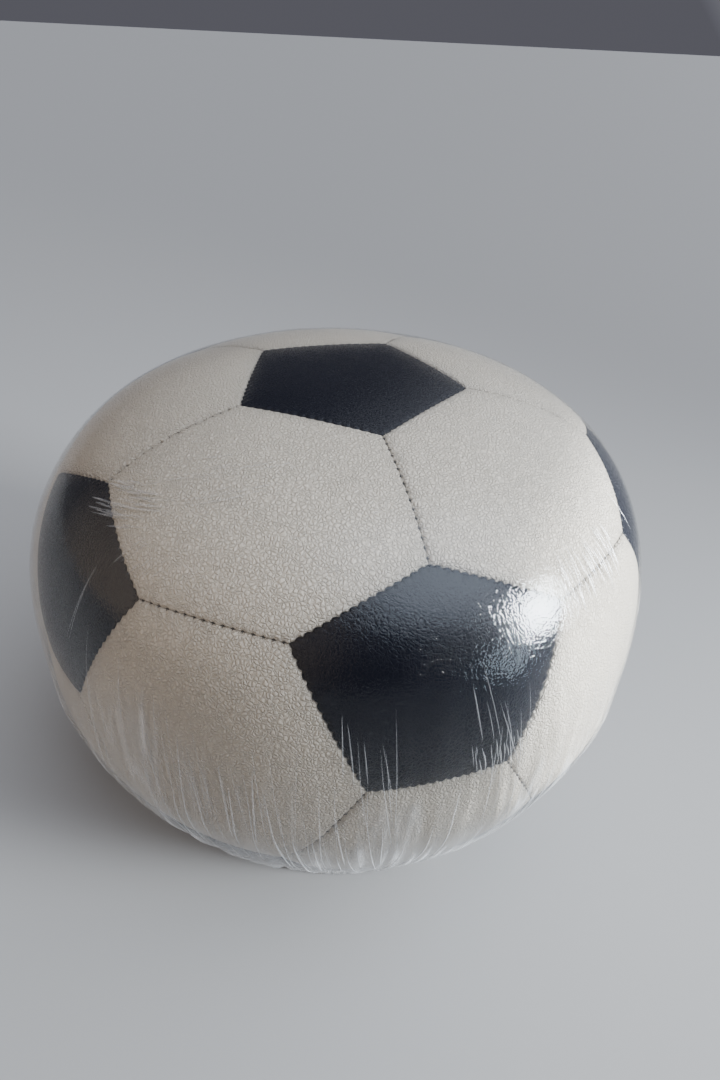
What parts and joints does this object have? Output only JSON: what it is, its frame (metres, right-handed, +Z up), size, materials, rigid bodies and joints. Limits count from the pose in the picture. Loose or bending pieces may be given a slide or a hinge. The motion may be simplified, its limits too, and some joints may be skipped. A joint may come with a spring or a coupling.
{
  "type": "football floor pouffe",
  "caption": "Squashed ball-shaped floor pouffe sewn from dark pentagon and pale hexagon leatherette panels, bead filled, with a base zip and a wrap of clear stretch film.",
  "frame": {"origin": "on the floor, in the middle of the pouffe's outline seen from above", "axes": "+Z up through the middle of the top panel, -Y towards the front side panel, +X to the right seen from the front"},
  "size_m": [0.45, 0.45, 0.3435],
  "materials": {
    "cream_leatherette": "satin, fine pebble grain",
    "navy_leatherette": "semi-gloss, fine pebble grain",
    "seam_allowance": "matte knit backing and sewing thread",
    "zip_tape": "woven polyester tape",
    "zip_coil": "satin nylon",
    "zip_metal": "nickel plated",
    "liner_cloth": "nonwoven cloth",
    "bead_filling": "foam beads",
    "clear_film": "clear glossy film"
  },
  "bodies": {
    "pouffe": {"panel_pentagon_top": "navy_leatherette", "panel_pentagon_upper_1": "navy_leatherette", "panel_pentagon_lower_1": "navy_leatherette", "panel_hexagon_crown_1": "cream_leatherette", "panel_hexagon_upper_1": "cream_leatherette", "panel_hexagon_lower_1": "cream_leatherette", "panel_hexagon_base_1": "cream_leatherette", "panel_pentagon_upper_2": "navy_leatherette", "panel_pentagon_lower_2": "navy_leatherette", "panel_hexagon_crown_2": "cream_leatherette", "panel_hexagon_upper_2": "cream_leatherette", "panel_hexagon_lower_2": "cream_leatherette", "panel_hexagon_base_2": "cream_leatherette", "panel_pentagon_upper_3": "navy_leatherette", "panel_pentagon_lower_3": "navy_leatherette", "panel_hexagon_crown_3": "cream_leatherette", "panel_hexagon_upper_3": "cream_leatherette", "panel_hexagon_lower_3": "cream_leatherette", "panel_hexagon_base_3": "cream_leatherette", "panel_pentagon_upper_4": "navy_leatherette", "panel_pentagon_lower_4": "navy_leatherette", "panel_hexagon_crown_4": "cream_leatherette", "panel_hexagon_upper_4": "cream_leatherette", "panel_hexagon_lower_4": "cream_leatherette", "panel_hexagon_base_4": "cream_leatherette", "panel_pentagon_upper_5": "navy_leatherette", "panel_pentagon_lower_5": "navy_leatherette", "panel_hexagon_crown_5": "cream_leatherette", "panel_hexagon_upper_5": "cream_leatherette", "panel_hexagon_lower_5": "cream_leatherette", "panel_hexagon_base_5": "cream_leatherette", "panel_pentagon_base_front": "navy_leatherette", "panel_pentagon_base_back": "navy_leatherette", "seam_allowance": "seam_allowance", "liner_bag": "liner_cloth", "bead_filling": "bead_filling", "stretch_film": "clear_film", "zip_tape_front": "zip_tape", "zip_coil_front": "zip_coil", "zip_tape_back": "zip_tape", "zip_coil_back": "zip_coil", "zip_stop_bottom": "zip_metal", "zip_stop_top": "zip_metal"},
    "zip_slider": {"zip_slider": "zip_metal"},
    "zip_pull": {"zip_pull": "zip_metal"}
  },
  "joints": [
    {"name": "zip_slide", "type": "slide", "parent": "pouffe", "child": "zip_slider", "axis": [1, 0, 0], "range_m": [0, 0.08]},
    {"name": "pull_swing", "type": "hinge", "parent": "zip_slider", "child": "zip_pull", "pos_m": [-0.038, 0, 0.0041], "axis": [0, 1, 0], "range_deg": [0, 175]}
  ]
}
